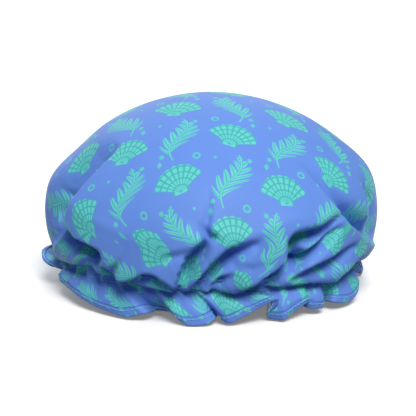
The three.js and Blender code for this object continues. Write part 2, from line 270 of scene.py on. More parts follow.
# The back is drawn in the same way, as it would be seen from behind
BACK_TUCKS = {
    "long_ridge": (
        [(104, 166, 0), (122, 190, 0.5), (138, 216, 0.9), (146, 240, 1), (142, 262, 0.7)],
        5, 16, 16, 14,
    ),
    "middle_swag": (
        [(150, 268, 0.3), (176, 258, 0.8), (204, 256, 1), (232, 262, 0.8), (250, 274, 0.3)],
        4, 12, 14, 10,
    ),
    "pocket": (
        [(286, 268, 0.3), (292, 250, 0.9), (300, 236, 1), (316, 226, 0.8), (334, 206, 0.2)],
        6, 14, 24, 12,
    ),
    "right_ridge": ([(352, 232, 0.8), (346, 208, 1), (330, 184, 0.6), (312, 164, 0)], 4, 16, 14, 14),
    "left_swag": ([(64, 250, 0.3), (82, 238, 0.9), (98, 234, 0.9), (112, 240, 0.3)], 4, 10, 12, 9),
    "slant": ([(222, 292, 0.3), (234, 272, 0.8), (252, 254, 1), (262, 232, 0.4)], 4, 12, 14, 11),
    "upper_crease": ([(200, 190, 0), (206, 214, 0.7), (204, 240, 0.6)], 2, 8, 5, 8),
    "right_swag": ([(300, 284, 0.3), (318, 268, 0.9), (338, 258, 0.9), (356, 240, 0.4)], 4, 10, 12, 9),
    "low_left": ([(84, 276, 0.3), (104, 266, 0.8), (122, 270, 0.5)], 4, 8, 10, 8),
}
# Tucks that stay deep all the way down
OPEN_BELOW = {"pocket"}
# Form of all tucks: edge and shape of the lips, size, width at the ends, how they face the camera, and sag
LIP_EDGE = 2.6
LIP_SHAPE = 1.4
TUCK_SIZE = 1.25
END_WIDTH = 0.45
VIEW_SHARE = 0.65
FULL_FACING = 0.85
DROOP = 0.35
SIDE_FADE = 0.35
LEAST_FACING = 0.3
SHALLOW = 12.0
# Low part of the crown: its slope to the gathers, where it begins, and the least radius that it may have
GATHER_RISE = 0.25
GATHER_GAP = 1.0
LOW_CROWN = 135.0
LEAST_RADIUS = CHANNEL_RADIUS + 2 * PLEAT + GATHER_GAP
POCKET_RADIUS = 84.0
POCKET_LEVELS = [CHANNEL_TOP + 3.0, CHANNEL_TOP + 19.0]


def soft_step(value):
    """Rises smoothly from 0 to 1 as a value does."""
    value = np.clip(value, 0, 1)
    return value * value * (3 - 2 * value)


def drawn_line(places, steps=8):
    """A drawn line with more points on it."""
    places = np.array(places, float)
    at = np.linspace(0, len(places) - 1, (len(places) - 1) * steps + 1)
    return read_off(at, np.arange(len(places)), places)


def tuck_moves(tucks, facing):
    """How far the tucks of one side move the crown, how near each place is to one, and how deep it lies.

    Facing is 1 for the front and -1 for the back.
    """
    about = np.array([facing, facing, 1.0])
    across, down = to_pixels(base * about)
    lift, lips, near, deep = np.zeros((4, ROWS, COLUMNS))
    for name, (places, lip, lip_width, depth, width) in tucks.items():
        line = drawn_line(places)
        way = unit(np.gradient(line[:, :2], axis=0))
        squares = (across[..., None] - line[:, 0]) ** 2 + (down[..., None] - line[:, 1]) ** 2
        nearest = squares.argmin(-1)
        far = np.sqrt(squares.min(-1)) * PIXEL
        beside_x, beside_y = across - line[nearest, 0], down - line[nearest, 1]
        side = (way[nearest, 0] * beside_y - way[nearest, 1] * beside_x) * PIXEL
        under = soft_step(side / LIP_EDGE)
        share = line[nearest, 2]
        taper = END_WIDTH + (1 - END_WIDTH) * share
        high = TUCK_SIZE * share * lip * np.exp(-((far / (lip_width * taper)) ** LIP_SHAPE)) * (1 - under)
        low = TUCK_SIZE * share * depth * np.exp(-((far / (width * taper)) ** 2)) * under
        if name in OPEN_BELOW:
            low = np.maximum.accumulate(low, axis=0)
        lift += high - low
        lips += high
        deep += low
        near = np.maximum(near, share * np.exp(-((far / max(lip_width, width)) ** 2)))
    turned_here = -facing * np.sin(turn)
    along_view = (VIEW_SHARE * soft_step(turned_here / FULL_FACING))[:, None]
    towards = unit((1 - along_view) * base_normal - along_view * VIEW * about)
    shown = soft_step(turned_here / SIDE_FADE) * under_fade[:, None]
    moves = towards[seen_row] * (shown * lift[seen_row])[..., None]
    moves[..., 2] -= DROOP * shown * lips[seen_row]
    return moves, shown * near[seen_row], soft_step((shown * deep[seen_row] - SHALLOW) / SHALLOW)


# The underside of the lobes follows the lowest row that the camera sees, and comes back to the elastic
front_column = COLUMNS * 3 // 4
last_seen = np.nonzero(-base_normal[:, front_column] @ VIEW > LEAST_FACING)[0][-1]
seen_row = np.minimum(np.arange(ROWS), last_seen)
under_fade = along_rows([arc[last_seen], CHANNEL_START], [1, 0])
front_moves, front_near, front_deep = tuck_moves(FRONT_TUCKS, 1.0)
back_moves, back_near, back_deep = tuck_moves(BACK_TUCKS, -1.0)
target = base + front_moves + back_moves
low_crown = (arc > LOW_CROWN) & (arc < CHANNEL_START)

# Under a deep recess the cloth slopes to the gathers, and doesn't hang in front of them
gather_slope = CHANNEL_TOP + GATHER_GAP + GATHER_RISE * (CHANNEL_START - arc)
lacking = (gather_slope[:, None] - target[..., 2]).clip(0) * low_crown[:, None]
target[..., 2] += np.maximum(front_deep, back_deep) * lacking

# Places where the lobe is drawn up and shows more of the frill: angle from the front and half of the width in
# degrees, and the rise in mm
LOBE_LIFTS = {
    "under_pocket": (-50, 17, 6.5),
    "over_raised_frill": (-103, 15, 6.0),
}
LIFT_MARKS = [WIDEST_ARC, WIDEST_ARC + 26, CHANNEL_START - 12, CHANNEL_START]
lifted_rows = along_rows(LIFT_MARKS, [0, 1, 1, 0])
for angle, half_width, rise in LOBE_LIFTS.values():
    target[..., 2] += rise * lifted_rows[:, None] * np.exp(-(from_front(angle, half_width) ** 2))


def keep_outside(points):
    """Keeps the low part of the crown outside the elastic, and lets it go deeper higher up."""
    out = from_axis(points[low_crown])
    least = np.interp(points[low_crown, :, 2], POCKET_LEVELS, [LEAST_RADIUS, POCKET_RADIUS])
    points[low_crown, :, :2] *= np.maximum(least / np.maximum(out, 1), 1)[..., None]


keep_outside(target)
fold_near = np.maximum(front_near, back_near)

# Edge of the frill: angle from the front in degrees, radius and height in mm, in order from left to right
HEM_FRONT = [
    (-126, 105, 5), (-117, 111, 9), (-108, 116, 17), (-100, 118, 24), (-93, 123, 23), (-87, 122, 20),
    (-82, 115, 17), (-78, 106, 14.5), (-73.5, 111, 14.5), (-71.4, 114, 14.5), (-66.9, 114.5, 12.8),
    (-54, 115, 9.6), (-45.4, 114, 6), (-37.6, 114, 4.2), (-30.7, 114, 3.1), (-26.2, 113, 5.6),
    (-23.6, 112, 7), (-22.8, 104, 6.4), (-23, 99, 5.5), (-19.6, 97.5, 5.5), (-15.5, 99, 5.2),
    (-14.5, 104, 5.5), (-12.3, 112, 6.5), (-9.6, 114.5, 3), (-7.2, 115, 1.5), (-1.8, 114, 2.5),
    (0.6, 111.5, 4.5), (1.8, 104, 5), (2.6, 100, 5), (3.4, 104, 4.5), (4, 110, 3.8), (6.4, 114, 3.2),
    (11.9, 114, 8.5), (16.3, 113.5, 12.5), (22, 115, 17.8), (23.4, 113.5, 16.5), (22.2, 109.5, 9),
    (20.5, 107.5, 3.6), (22.4, 109, 2.6), (24.6, 113, 2.3), (25.5, 115.5, 3.5), (29.7, 114, 7.5),
    (36.4, 112, 12), (37.2, 108.5, 9.5), (36.8, 106, 7.5), (38.2, 109.5, 5.8), (40.2, 113, 6),
    (43.2, 112.5, 5), (45.5, 106, 5.5), (47.5, 101.5, 6), (48.2, 108, 7.3), (48.4, 114, 7.5),
    (53, 116, 5.5), (58, 116, 4.8), (63.4, 116, 8.8), (67, 112, 12), (70, 104, 12), (75, 100, 11),
    (81, 106, 12), (88, 108, 12), (94, 101, 9),
]
# Waves at the back: places along a wave as shares of it, and least and most radius and height in mm
BACK_WAVES = 9
CREST_START = (0.24, 0.36)
CREST_LENGTH = 0.35
CREST_RADIUS = (110, 116)
CREST_HEIGHT = (1, 4)
DIP = 0.98
DIP_RADIUS = (95, 101)
DIP_HEIGHT = (3, 8)


def hem_points():
    """Points of the frill's edge all the way round."""
    points = list(HEM_FRONT)
    first = HEM_FRONT[-1][0]
    wave = (360 + HEM_FRONT[0][0] - first) / BACK_WAVES
    for k in range(BACK_WAVES):
        crest = first + (k + random.uniform(*CREST_START)) * wave
        for place in (crest, crest + CREST_LENGTH * wave):
            points.append((place, random.uniform(*CREST_RADIUS), random.uniform(*CREST_HEIGHT)))
        if k < BACK_WAVES - 1:
            dip = first + (k + DIP) * wave
            points.append((dip, random.uniform(*DIP_RADIUS), random.uniform(*DIP_HEIGHT)))
    angle, out, level = np.array(points, float).T
    return round_places(out, np.radians(angle) + FRONT, level)


def closed_curve(points, steps=40):
    """A smooth closed line through points."""
    before, after, next_after = np.roll(points, 1, 0), np.roll(points, -1, 0), np.roll(points, -2, 0)
    t = np.linspace(0, 1, steps, endpoint=False)[None, :, None]
    p0, p1, p2, p3 = (p[:, None, :] for p in (before, points, after, next_after))
    squared = 2 * p0 - 5 * p1 + 4 * p2 - p3
    cubed = 3 * p1 - p0 - 3 * p2 + p3
    curve = 0.5 * (2 * p1 + (p2 - p0) * t + squared * t ** 2 + cubed * t ** 3)
    return curve.reshape(-1, 3)


def hem_columns():
    """The frill's edge, one point to a column, spread evenly along it."""
    curve = closed_curve(hem_points())
    curve = np.concatenate([curve, curve[:1]])
    length = run_length(curve)
    angle = np.unwrap(np.arctan2(curve[:, 1], curve[:, 0]))
    share = length / length[-1] * FULL_TURN
    start = np.median(angle - share)
    at = (turn - start) % FULL_TURN
    return read_off(at, share, curve)


hem = hem_columns()

# Small pleats that the elastic draws
PLEATS = 46
PLEAT_WAVER = 0.9
PLEAT_WAVERS = 8
PLEAT_REACH = 6.0
pleat_turn = PLEATS * turn
for k in range(1, PLEAT_WAVERS + 1):
    pleat_turn = pleat_turn + PLEAT_WAVER * np.sin(k * turn + random.uniform(0, FULL_TURN)) / math.sqrt(k)
pleat_rows = along_rows([CHANNEL_START - PLEAT_REACH, CHANNEL_START], [0, PLEAT])
pleat = pleat_rows[:, None] * (1 + np.cos(pleat_turn))
outward = round_places(1.0, turn, 0.0)
cloth = target + pleat[..., None] * outward
target = np.where((arc < CHANNEL_START)[:, None, None], cloth, target)

# The rows that the elastic holds, and the frill drawn from them to its edge
RING_MARGIN = 0.6 * row_step
FRILL_BULGE = 3.0
FRILL_BLEND = 0.9
ring = (arc >= CHANNEL_START - RING_MARGIN) & (arc <= CHANNEL_END + RING_MARGIN)
ring_first, ring_last = np.nonzero(ring)[0][[0, -1]]
smooth_top = target[ring_last] + PLEAT * outward
for row in range(ring_last + 1, ROWS):
    share = (arc[row] - arc[ring_last]) / (arc[-1] - arc[ring_last])
    pleated = cloth[ring_last] * (1 - share) + smooth_top * share
    blend = share ** FRILL_BLEND
    cloth[row] = pleated * (1 - blend) + hem * blend + FRILL_BULGE * math.sin(np.pi * share) * outward
    target[row] = cloth[row]

# How firmly the cloth keeps to its drawn place while it settles, at arc lengths and near the tucks
HOLD = [
    (0, 0.3), (100, 0.3), (125, 0.2), (150, 0.12), (175, 0.08), (CHANNEL_START, 0.02),
    (CHANNEL_END, 0), (CHANNEL_END + 6, 0.12), (EDGE_ARC, 0.35),
]
FOLD_HOLD = 0.15
hold_row = along_rows(*zip(*HOLD))
hold = (hold_row[:, None] + FOLD_HOLD * fold_near)[..., None]

# Settling: its steps, how the cloth resists being stretched, squeezed, slanted and bent, and how its layers
# stay apart
STEPS = 70
ROUNDS = 3
DAMPING = 0.9
WEIGHT = 0.012
TENSION = 0.8
SQUEEZE = 0.3
SQUEEZE_ARCS = [80.0, 140.0]
SHEAR = 0.06
BEND = 0.18
FRILL_BEND = 0.12
FULLNESS = 1.03
OUTER_LIMIT = CROWN_RADIUS + 1.0
OUTER_PULL = 0.3
FLOOR = 1.4
CLOTH_GAP = 2.0
PUSH = 0.25
MOST_PUSH = 0.5
NEIGHBOUR = 6
PAIR_EVERY = 10
LOOSE_FROM = 110.0
UNEVEN = 0.1
UNEVEN_ARCS = [120.0, 170.0]
bend = along_rows([CHANNEL_START, CHANNEL_END], [BEND, FRILL_BEND])[:, None, None]
hoop_squeeze = along_rows(SQUEEZE_ARCS, [0.0, SQUEEZE])[:, None, None]
first_loose = np.nonzero(arc > LOOSE_FROM)[0][0]


def lengths(points, axis):
    """Lengths of the threads of a grid that run down it or round it."""
    if axis == 0:
        return np.linalg.norm(points[1:] - points[:-1], axis=-1)[..., None]
    return np.linalg.norm(np.roll(points, -1, axis=1) - points, axis=-1)[..., None]


def pull(first, second, rest, first_free, second_free, tension, squeeze):
    """Moves both ends of each thread towards its rest length."""
    way = second - first
    length = np.sqrt((way * way).sum(-1, keepdims=True)) + TINY
    stretch = length - rest
    strength = np.where(stretch > 0, tension, squeeze)
    move = way * (strength * stretch / (length * (first_free + second_free + TINY)))
    first += move * first_free
    second -= move * second_free


def pull_hoops(points, free, rest):
    """Threads that go round, the even ones and then the odd ones."""
    even, odd = points[:, 0::2], points[:, 1::2]
    free_even, free_odd = free[:, 0::2], free[:, 1::2]
    pull(even, odd, rest[:, 0::2], free_even, free_odd, TENSION, hoop_squeeze)
    ahead = np.roll(even, -1, axis=1)
    pull(odd, ahead, rest[:, 1::2], free_odd, np.roll(free_even, -1, axis=1), TENSION, hoop_squeeze)
    points[:, 0::2] = np.roll(ahead, 1, axis=1)


def pull_rows(points, free, rest, diagonal):
    """Threads that run down the cloth, and its diagonals."""
    for start in (0, 1):
        end = start + (ROWS - start) // 2 * 2
        upper, lower = points[start:end:2], points[start + 1:end:2]
        free_upper, free_lower = free[start:end:2], free[start + 1:end:2]
        pull(upper, lower, rest[start:end:2][:len(lower)], free_upper, free_lower, TENSION, SQUEEZE)
        slant = diagonal[start:end:2][:len(lower)]
        for shift in (-1, 1):
            beside = np.roll(lower, shift, axis=1)
            pull(upper, beside, slant, free_upper, np.roll(free_lower, shift, axis=1), SHEAR, SHEAR)
            lower[:] = np.roll(beside, -shift, axis=1)


def bow_round(points):
    """How far each point lies from the middle of its neighbours round the cloth."""
    return 0.5 * (np.roll(points, 1, axis=1) + np.roll(points, -1, axis=1)) - points


def bow_down(points):
    """How far each point lies from the middle of its neighbours up and down the cloth."""
    bow = np.zeros_like(points)
    bow[1:-1] = 0.5 * (points[:-2] + points[2:]) - points[1:-1]
    return bow


def evening(points):
    """The move that evens out a grid."""
    return 0.5 * (bow_round(points) + bow_down(points))


def close_pairs(points, reach):
    """Pairs of points that lie within reach and aren't neighbours along the cloth."""
    flat = points.reshape(-1, 3)
    cell = np.floor(flat / reach).astype(np.int64)
    cell -= cell.min(0) - 1
    size = cell.max(0) + 2
    key = (cell[:, 0] * size[1] + cell[:, 1]) * size[2] + cell[:, 2]
    order = np.argsort(key, kind="stable")
    sorted_key = key[order]
    firsts, seconds = [], []
    index = np.arange(len(flat))
    for x, y, z in np.ndindex(3, 3, 3):
        wanted = key + ((x - 1) * size[1] + y - 1) * size[2] + z - 1
        low = np.searchsorted(sorted_key, wanted, "left")
        count = np.searchsorted(sorted_key, wanted, "right") - low
        for k in range(count.max()):
            has = count > k
            first, second = index[has], order[low[has] + k]
            later = first < second
            first, second = first[later], second[later]
            rows = np.abs(first // COLUMNS - second // COLUMNS)
            columns = np.abs(first % COLUMNS - second % COLUMNS)
            columns = np.minimum(columns, COLUMNS - columns)
            apart = (rows > NEIGHBOUR / 2) | (columns > NEIGHBOUR)
            first, second = first[apart], second[apart]
            near = ((flat[first] - flat[second]) ** 2).sum(-1) < reach ** 2
            firsts.append(first[near])
            seconds.append(second[near])
    return np.concatenate(firsts), np.concatenate(seconds)


def push_apart(points, free, pairs):
    """Keeps layers of cloth from passing through each other."""
    flat = points.reshape(-1, 3)
    free = free.reshape(-1, 1)
    first, second = pairs
    way = flat[second] - flat[first]
    length = np.sqrt((way * way).sum(-1, keepdims=True)) + TINY
    short = (CLOTH_GAP - length).clip(0)
    move = way * (PUSH * short / length)
    shift = np.zeros_like(flat)
    for k in range(3):
        shift[:, k] -= np.bincount(first, move[:, k], len(flat))
        shift[:, k] += np.bincount(second, move[:, k], len(flat))
    flat += (shift * free).clip(-MOST_PUSH, MOST_PUSH)


def settle(points, steps):
    """Lets the gathered cloth settle over its folds and sag under its weight."""
    hoop = FULLNESS * lengths(cloth, 1)
    hoop = 0.5 * (hoop + hoop.mean(1, keepdims=True))
    down = lengths(cloth, 0)
    down[:last_seen] = np.maximum(down[:last_seen], row_step)
    diagonal = np.sqrt(down ** 2 + (0.5 * (hoop[:-1] + hoop[1:])) ** 2)
    free = np.ones((ROWS, COLUMNS, 1))
    free[ring] = 0
    held = points[ring].copy()
    crown_row = arc < CHANNEL_START
    before = points.copy()
    pairs = None
    for step in range(steps):
        speed = (points - before) * DAMPING
        before = points.copy()
        points = points + free * speed
        points[..., 2] -= WEIGHT * free[..., 0]
        for _ in range(ROUNDS):
            pull_hoops(points, free, hoop)
            pull_rows(points, free, down, diagonal)
        points -= free * bend * bow_round(bow_round(points))
        points -= free * bend * bow_down(bow_down(points))
        points += free * hold * (target - points)
        loose = points[first_loose:]
        if step % PAIR_EVERY == 0:
            pairs = close_pairs(loose, 2 * CLOTH_GAP)
        push_apart(loose, free[first_loose:], pairs)
        out = from_axis(points)
        over = (out - OUTER_LIMIT).clip(0) * crown_row[:, None]
        points[..., :2] *= (1 - OUTER_PULL * over / out)[..., None]
        keep_outside(points)
        points[..., 2] = np.maximum(points[..., 2], FLOOR)
        points[ring] = held
    return points


cloth += random.normal(0, UNEVEN, cloth.shape) * along_rows(UNEVEN_ARCS, [0, 1])[:, None, None]
cloth = settle(cloth, STEPS)

# Smoothing of the settled cloth, more of it at the sides
SMOOTHING = 3
SIDE_SMOOTHING = 10
SIDE_SPAN = 0.5
SMOOTH_CROWN = [(20, 0), (60, 0.35), (CHANNEL_START - 8, 0.35), (CHANNEL_START, 0)]
SMOOTH_FRILL = [(CHANNEL_END, 0), (CHANNEL_END + 4, 0.25)]
crown_smooth = along_rows(*zip(*SMOOTH_CROWN))[:, None, None]
frill_smooth = along_rows(*zip(*SMOOTH_FRILL))[:, None, None]
side = soft_step((SIDE_SPAN - np.abs(np.sin(turn))) / SIDE_SPAN)[None, :, None]
for weight in [crown_smooth + frill_smooth] * SMOOTHING + [crown_smooth * side] * SIDE_SMOOTHING:
    cloth = cloth + weight * evening(cloth)
cloth_normal = surface_normals(cloth)

# Rings that close the top: arc length and number of points
TOP_RINGS = [(10.0, 160), (7.0, 40), (3.5, 10)]


def close_top(points):
    """Rings of fewer and fewer points that close the top of the crown, their flat places, and their faces."""
    middle = points[0].mean(0)
    middle[2] -= np.interp(FIRST_ROW, profile_arc, profile_height)
    spots, flat, faces = [], [], []
    outer = list(range(COLUMNS))
    count = points.shape[0] * COLUMNS
    for place, columns in TOP_RINGS:
        inner = list(range(count, count + columns))
        count += columns
        angle = np.linspace(0, FULL_TURN, columns, endpoint=False)
        out, level = (np.interp(place, profile_arc, line) for line in (profile_radius, profile_height))
        spots.append(middle + round_places(out, angle, level))
        flat.append(round_places(place, angle, 0.0))
        step = len(outer) // columns
        for k in range(columns):
            edge = [outer[(step * k + q) % len(outer)] for q in range(step + 1)]
            faces.append([inner[k], *edge, inner[(k + 1) % columns]])
        outer = inner
    spots.append([middle + (0, 0, profile_height[0])])
    flat.append(np.zeros((1, 3)))
    faces += [[count, outer[k], outer[(k + 1) % len(outer)]] for k in range(len(outer))]
    return np.concatenate(spots), np.concatenate(flat), faces


def grid_faces(rows, columns):
    """Faces of a round grid, as numbers of their corners."""
    index = np.arange(rows * columns).reshape(rows, columns)
    beside = np.roll(index, -1, axis=1)
    return np.stack([index[:-1], index[1:], beside[1:], beside[:-1]], -1).reshape(-1, 4).tolist()


def add_object(name, data):
    """A new object in the scene."""
    piece = bpy.data.objects.new(name, data)
    bpy.context.scene.collection.objects.link(piece)
    return piece


def add_mesh(name, spots, faces):
    """A new object made of faces between points, which are in millimetres."""
    mesh = bpy.data.meshes.new(name)
    mesh.from_pydata((np.array(spots) * METRE).tolist(), [], faces)
    mesh.shade_smooth()
    return add_object(name, mesh)


def round_mesh(name, points, flat, closed=False):
    """A mesh on a round grid with its places on flat cloth. It may be closed at the top of the crown."""
    rows, columns = points.shape[:2]
    spots = points.reshape(-1, 3)
    faces = grid_faces(rows, columns)
    flat = flat.reshape(-1, 3)
    if closed:
        top_spots, top_flat, top_faces = close_top(points)
        spots = np.concatenate([spots, top_spots])
        flat = np.concatenate([flat, top_flat])
        faces += top_faces
    piece = add_mesh(name, spots, faces)
    place = piece.data.attributes.new("flat", "FLOAT_VECTOR", "POINT")
    place.data.foreach_set("vector", flat.astype(np.float32).ravel())
    return piece


def thicken(piece, thickness, offset):
    """Gives a cloth its thickness, inwards for an offset of -1 and to both sides for 0."""
    solid = piece.modifiers.new("thickness", "SOLIDIFY")
    solid.thickness = thickness * METRE
    solid.offset = offset


# Print: passes that spread it evenly, and the run above the channel where it comes back to the flat cloth
PRINT_PASSES = 6
PRINT_SETTLE = 18.0


def print_places():
    """Places on the flat cloth that spread the print evenly along the settled folds."""
    around = lengths(cloth, 1)[..., 0]
    around = around / around.mean(1, keepdims=True)
    down = lengths(cloth, 0)[..., 0]
    for _ in range(PRINT_PASSES):
        around[1:-1] = (around[:-2] + around[1:-1] + around[2:]) / 3
        down = (np.roll(down, 1, axis=1) + down + np.roll(down, -1, axis=1)) / 3
    shift = np.cumsum(around - 1, axis=1) * FULL_TURN / COLUMNS
    shift = shift - shift.mean(1, keepdims=True)
    extra = np.zeros((ROWS, COLUMNS))
    extra[1:] = np.cumsum(down - row_step, axis=0)
    extra *= along_rows([CHANNEL_START - PRINT_SETTLE, CHANNEL_START], [1, 0])[:, None]
    return round_places(arc[:, None] + extra, turn + shift, 0.0)


shell = round_mesh("cap_shell", cloth, print_places(), closed=True)
thicken(shell, SHELL_THICKNESS, -1)

# Lining: how often it is smoothed, where it is kept inside the shell, and how it passes inside the elastic
LINING_PASSES = 24
NORMAL_PASSES = 4
LINING_DEPTH = SHELL_THICKNESS + LAYER_GAP
TUCKED_FROM = 150.0
TUCKED_COLUMNS = 3
TUCKED_GAP = 1.5
ELASTIC_INSIDE = ELASTIC_RADIUS - 1.9
INSIDE_MARKS = [CHANNEL_END + 1, CHANNEL_END + 7]
PLEAT_SHIFT = 1.0
HANG_ROW = last_seen - 4


def keep_inside(points):
    """Draws the low part of the lining in where it would reach the shell."""
    tree = BVHTree.FromPolygons(cloth.reshape(-1, 3).tolist(), grid_faces(ROWS, COLUMNS))
    low = slice(np.nonzero(arc > TUCKED_FROM)[0][0], ring_first)
    room = np.full(points[low].shape[:2], CROWN_RADIUS)
    for place in np.ndindex(room.shape):
        x, y, z = points[low][place].tolist()
        hit = tree.ray_cast((0, 0, z), Vector((x, y, 0)).normalized(), CROWN_RADIUS)
        if hit[0] is not None:
            room[place] = hit[3]
    for _ in range(TUCKED_COLUMNS):
        room = np.minimum(room, np.minimum(np.roll(room, 1, axis=1), np.roll(room, -1, axis=1)))
    points[low, :, :2] *= np.minimum(1, (room - TUCKED_GAP) / from_axis(points[low]))[..., None]


def keep_under(points):
    """Keeps the lining of the frill inside the shell: its points, and then what lies between them."""
    faces = grid_faces(ROWS - ring_last, COLUMNS)
    above, below, outward_at = (grid[ring_last:].reshape(-1, 3) for grid in (cloth, points, cloth_normal))
    tree = BVHTree.FromPolygons(above.tolist(), faces)
    for k in range(COLUMNS, len(below)):
        spot, _, face, _ = tree.find_nearest(below[k].tolist())
        outward_here = outward_at[faces[face]].mean(0)
        short = LINING_DEPTH + (below[k] - np.array(spot)) @ outward_here
        below[k] -= max(short, 0) * outward_here
    tree = BVHTree.FromPolygons(below.tolist(), faces)
    push = np.zeros_like(below)
    for k in range(COLUMNS, len(above)):
        spot, _, face, _ = tree.find_nearest(above[k].tolist())
        short = LINING_DEPTH - (above[k] - np.array(spot)) @ outward_at[k]
        for corner in faces[face]:
            if short > np.linalg.norm(push[corner]):
                push[corner] = -short * outward_at[k]
    below += push


def lining_points():
    """The lining follows the shell from inside, and passes inside the elastic."""
    inward = cloth_normal.copy()
    for _ in range(NORMAL_PASSES):
        inward = inward + evening(inward)
    points = cloth - unit(inward) * LINING_DEPTH
    on_crown = (arc < CHANNEL_START - row_step)[:, None, None]
    for _ in range(LINING_PASSES):
        move = evening(points)
        inwards = (move * cloth_normal).sum(-1, keepdims=True) < 0
        points = points + move * (inwards & on_crown)
    channel = along_rows(INSIDE_MARKS, [1, 0])[ring_first:, None]
    tuck = ELASTIC_INSIDE - 0.5 * PLEAT * (1 + np.cos(pleat_turn + PLEAT_SHIFT))
    out = from_axis(points[ring_first:])
    points[ring_first:, :, :2] *= (1 + channel * (np.minimum(out, tuck) / out - 1))[..., None]
    for row in range(HANG_ROW + 1, ring_first):
        share = (arc[row] - arc[HANG_ROW]) / (arc[ring_first] - arc[HANG_ROW])
        points[row] = points[HANG_ROW] * (1 - share) + points[ring_first] * share
    keep_inside(points)
    keep_under(points)
    return points


flat_round = round_places(arc[:, None], turn, 0.0)
lining_piece = round_mesh("cap_lining", lining_points(), flat_round, closed=True)
thicken(lining_piece, LINING_THICKNESS, -1)


def at_arc(points, place):
    """A ring of the grid at an arc length."""
    row = np.interp(place, arc, np.arange(ROWS))
    low = min(int(row), ROWS - 2)
    return points[low] * (low + 1 - row) + points[low + 1] * (row - low)


def cloth_line(place):
    """A ring of the shell at an arc length, and its normals."""
    return at_arc(cloth, place), at_arc(cloth_normal, place)


edge_along = np.cumsum(lengths(cloth, 1)[-1, :, 0])

# Rings of the binding, as shares of its width from its top to the edge, and in radians round the edge
BINDING_RINGS = [0, 0.05, 0.2, 0.4, 0.6, 0.8, 0.94, 1]
EDGE_SWINGS = [-0.9, 0, 0.9]


def binding_grid():
    """The strip folded over the edge, from its outer top down, round the edge and up to its inner top."""
    outer = BINDING_GAP + BINDING_THICKNESS / 2
    inner = LINING_DEPTH + LINING_THICKNESS + outer
    middle = (outer - inner) / 2
    reach = (outer + inner) / 2
    down = unit(cloth[-1] - cloth[-2])
    outside, edge, inside, across = [], [], [], []
    for share in BINDING_RINGS:
        line, lean = cloth_line(EDGE_ARC - BINDING_WIDTH * (1 - share))
        outside.append(line + lean * outer)
        inside.append(line - lean * inner)
        across.append(BINDING_WIDTH * share)
    for swing in EDGE_SWINGS:
        sideways = middle - reach * math.sin(swing)
        edge.append(cloth[-1] + cloth_normal[-1] * sideways + down * reach * math.cos(swing))
        across.append(BINDING_WIDTH + reach * (1 + swing))
    across += [BINDING_WIDTH * (2 - share) + 2 * reach for share in BINDING_RINGS[::-1]]
    flat = np.stack(np.broadcast_arrays(edge_along, np.array(across)[:, None], 0.0), -1)
    return np.array(outside + edge + inside[::-1]), flat


binding_points, binding_flat = binding_grid()
binding = round_mesh("cap_binding", binding_points, binding_flat)
thicken(binding, BINDING_THICKNESS, 0)

# Rings of a stitch: place along it as a share, thickness as a share of the thread, and height in mm
STITCH_RINGS = [
    (-0.5, 0.25, -0.25), (-0.44, 0.8, 0), (-0.25, 1, 0.2), (0, 1, 0.28),
    (0.25, 1, 0.2), (0.44, 0.8, 0), (0.5, 0.25, -0.25),
]
THREAD_SIDES = 6


def stitch_row(name, path, normal):
    """Separate stitches along a closed line, each a bent thread with round ends."""
    path = np.concatenate([path, path[:1]])
    normal = np.concatenate([normal, normal[:1]])
    length = run_length(path)
    count = int(length[-1] // STITCH_PITCH)
    pitch = length[-1] / count
    shares, thick, level = np.array(STITCH_RINGS).T
    at = ((np.arange(count)[:, None] + 0.5) * pitch + shares * STITCH_LENGTH) % length[-1]
    centre = read_off(at, length, path)
    up = unit(read_off(at, length, normal))
    side = unit(np.cross(np.gradient(centre, axis=1), up))
    centre = centre + up * level[:, None]
    swing = np.linspace(0, FULL_TURN, THREAD_SIDES, endpoint=False)[:, None]
    rim = side[:, :, None] * np.cos(swing) + up[:, :, None] * np.sin(swing)
    spots = centre[:, :, None] + rim * (thick * THREAD / 2)[:, None, None]
    corners = len(STITCH_RINGS) * THREAD_SIDES
    first_end = list(range(THREAD_SIDES))[::-1]
    last_end = list(range(corners - THREAD_SIDES, corners))
    stitch = [face[::-1] for face in grid_faces(len(STITCH_RINGS), THREAD_SIDES)] + [first_end, last_end]
    faces = [[k * corners + corner for corner in face] for k in range(count) for face in stitch]
    return add_mesh(name, spots.reshape(-1, 3), faces)


binding_normal = surface_normals(binding_points)
stitch_share = np.interp(STITCH_DROP / BINDING_WIDTH, BINDING_RINGS, np.arange(len(BINDING_RINGS)))


def binding_line(row):
    """A line along the binding, between two of its rings."""
    low = int(row)
    mix = row - low
    line = binding_points[low] * (1 - mix) + binding_points[low + 1] * mix
    lean = binding_normal[low] * (1 - mix) + binding_normal[low + 1] * mix
    return line + lean * (BINDING_THICKNESS / 2), lean


last_ring = len(binding_points) - 1
stitch_outer = stitch_row("binding_stitches_outer", *binding_line(stitch_share))
stitch_inner = stitch_row("binding_stitches_inner", *binding_line(last_ring - stitch_share))
channel_upper = stitch_row("channel_stitches_upper", *cloth_line(CHANNEL_START))
channel_lower = stitch_row("channel_stitches_lower", *cloth_line(CHANNEL_END))


